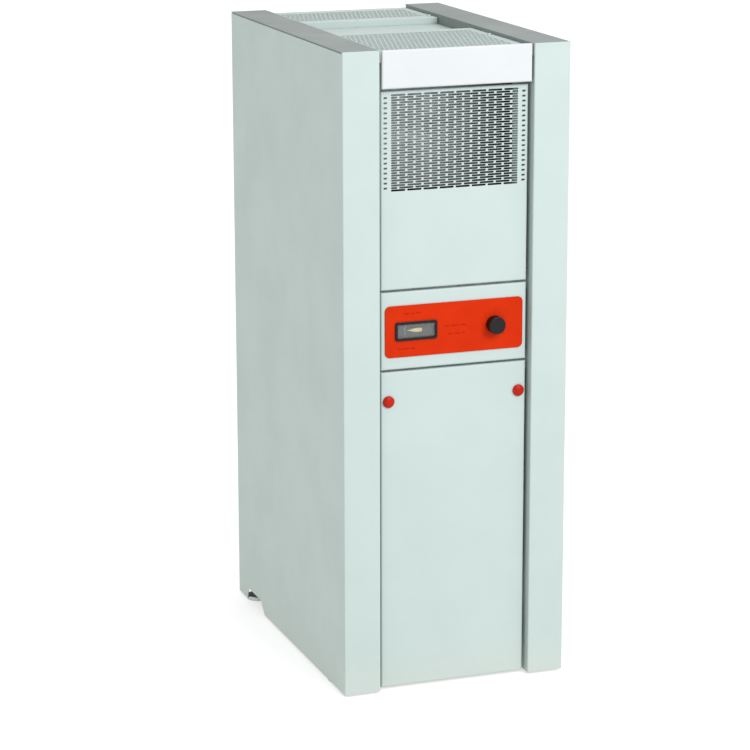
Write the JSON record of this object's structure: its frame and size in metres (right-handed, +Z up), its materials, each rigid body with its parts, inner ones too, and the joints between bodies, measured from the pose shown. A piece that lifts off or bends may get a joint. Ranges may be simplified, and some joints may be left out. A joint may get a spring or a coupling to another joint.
{
  "type": "floor-standing atmospheric gas boiler with burner assembly",
  "caption": "Narrow floor-standing gas boiler casing with slotted grilles, orange control fascia and lift-off door, holding a cast-iron block over an atmospheric bar burner.",
  "frame": {"origin": "on the floor, at the centre of the bounding box in plan", "axes": "+Z up, front of the cabinet faces -Y, +X to the viewer's right when facing the front"},
  "size_m": [0.31, 0.5146, 0.85],
  "materials": {
    "casing_paint": "fine-textured off-white powder coat, satin",
    "fascia_orange": "semi-gloss orange",
    "black_plastic": "moulded black, fine grain",
    "red_plastic": "glossy red-orange",
    "clear_window": "clear",
    "dial_grey": "matt grey print",
    "pointer_cream": "matt pale yellow",
    "galvanised_steel": "zinc-coated sheet",
    "zinc_hardware": "bright zinc",
    "stainless_steel": "heat-tinted stainless",
    "grey_cast_iron": "as cast, dull",
    "brass": "machined",
    "copper": "drawn tube, dull",
    "die_cast_aluminium": "die-cast, satin",
    "aluminised_steel": "aluminised sheet, dull",
    "black_steel_tube": "black lacquered tube",
    "ceramic_board": "vacuum-formed fibre board",
    "mineral_wool": "foil-faced mineral wool",
    "cable_sheath": "black sheath"
  },
  "bodies": {
    "casing": {"side_panel_left": "casing_paint", "side_panel_right": "casing_paint", "top_rail_left": "casing_paint", "top_rail_right": "casing_paint", "rear_panel": "galvanised_steel", "header_bar": "casing_paint", "top_front_grille": "casing_paint", "top_rear_grille": "casing_paint", "top_centre_tray": "casing_paint", "lid_screws": "zinc_hardware", "upper_front_panel": "casing_paint", "control_panel": "casing_paint", "control_fascia": "fascia_orange", "control_box": "galvanised_steel", "thermometer_housing": "black_plastic", "thermometer_window": "clear_window", "thermometer_dial": "dial_grey", "thermostat_body": "black_plastic", "capillaries": "copper", "valve_cable": "cable_sheath", "door_catches": "galvanised_steel", "base_frame": "galvanised_steel", "levelling_feet": "zinc_hardware", "foot_nuts": "zinc_hardware", "front_crossbars": "galvanised_steel", "chamber_side_left": "aluminised_steel", "chamber_side_right": "aluminised_steel", "chamber_tray": "aluminised_steel", "refractory_boards": "ceramic_board", "burner_plate": "aluminised_steel", "burner_bars": "stainless_steel", "gas_manifold": "black_steel_tube", "injectors": "brass", "gas_valve": "die_cast_aluminium", "pilot_burner": "stainless_steel", "thermocouple": "copper", "ignition_electrode": "ceramic_board", "gas_pipe": "black_steel_tube", "section_front": "grey_cast_iron", "sections_middle": "grey_cast_iron", "section_rear": "grey_cast_iron", "section_nipples": "zinc_hardware", "tie_rods": "zinc_hardware", "insulation_sides": "mineral_wool", "insulation_front": "mineral_wool", "insulation_rear": "mineral_wool", "sensor_pocket": "brass", "flow_pipe": "black_steel_tube", "return_pipe": "black_steel_tube", "flue_collector": "aluminised_steel", "draught_hood": "aluminised_steel", "flue_spigot": "aluminised_steel", "cable_gland": "black_plastic"},
    "door": {"lower_door": "casing_paint"},
    "fastener_left": {"fastener_left": "red_plastic"},
    "fastener_right": {"fastener_right": "red_plastic"},
    "knob": {"thermostat_knob": "black_plastic"},
    "pointer": {"thermometer_pointer": "pointer_cream"},
    "valve_knob": {"valve_knob": "black_plastic"},
    "pilot_button": {"pilot_button": "black_plastic"}
  },
  "joints": [
    {"name": "door_lift_off", "type": "slide", "parent": "casing", "child": "door", "axis": [0, -1, 0], "range_m": [0, 0.3]},
    {"name": "fastener_left_turn", "type": "hinge", "parent": "door", "child": "fastener_left", "pos_m": [-0.0905, -0.24325, 0.394], "axis": [0, 1, 0], "range_deg": [0, 90]},
    {"name": "fastener_right_turn", "type": "hinge", "parent": "door", "child": "fastener_right", "pos_m": [0.0905, -0.24325, 0.394], "axis": [0, 1, 0], "range_deg": [0, 90]},
    {"name": "thermostat_turn", "type": "hinge", "parent": "casing", "child": "knob", "pos_m": [0.0555, -0.24475, 0.486], "axis": [0, 1, 0], "range_deg": [-135, 135]},
    {"name": "pointer_swing", "type": "hinge", "parent": "casing", "child": "pointer", "pos_m": [-0.046, -0.24175, 0.486], "axis": [0, 1, 0], "range_deg": [-25, 25]},
    {"name": "valve_knob_turn", "type": "hinge", "parent": "casing", "child": "valve_knob", "pos_m": [-0.008, -0.21475, 0.13], "axis": [0, 1, 0], "range_deg": [0, 90]},
    {"name": "pilot_button_press", "type": "slide", "parent": "casing", "child": "pilot_button", "axis": [0, 1, 0], "range_m": [0, 0.004], "stiffness_N_per_m": 600}
  ]
}
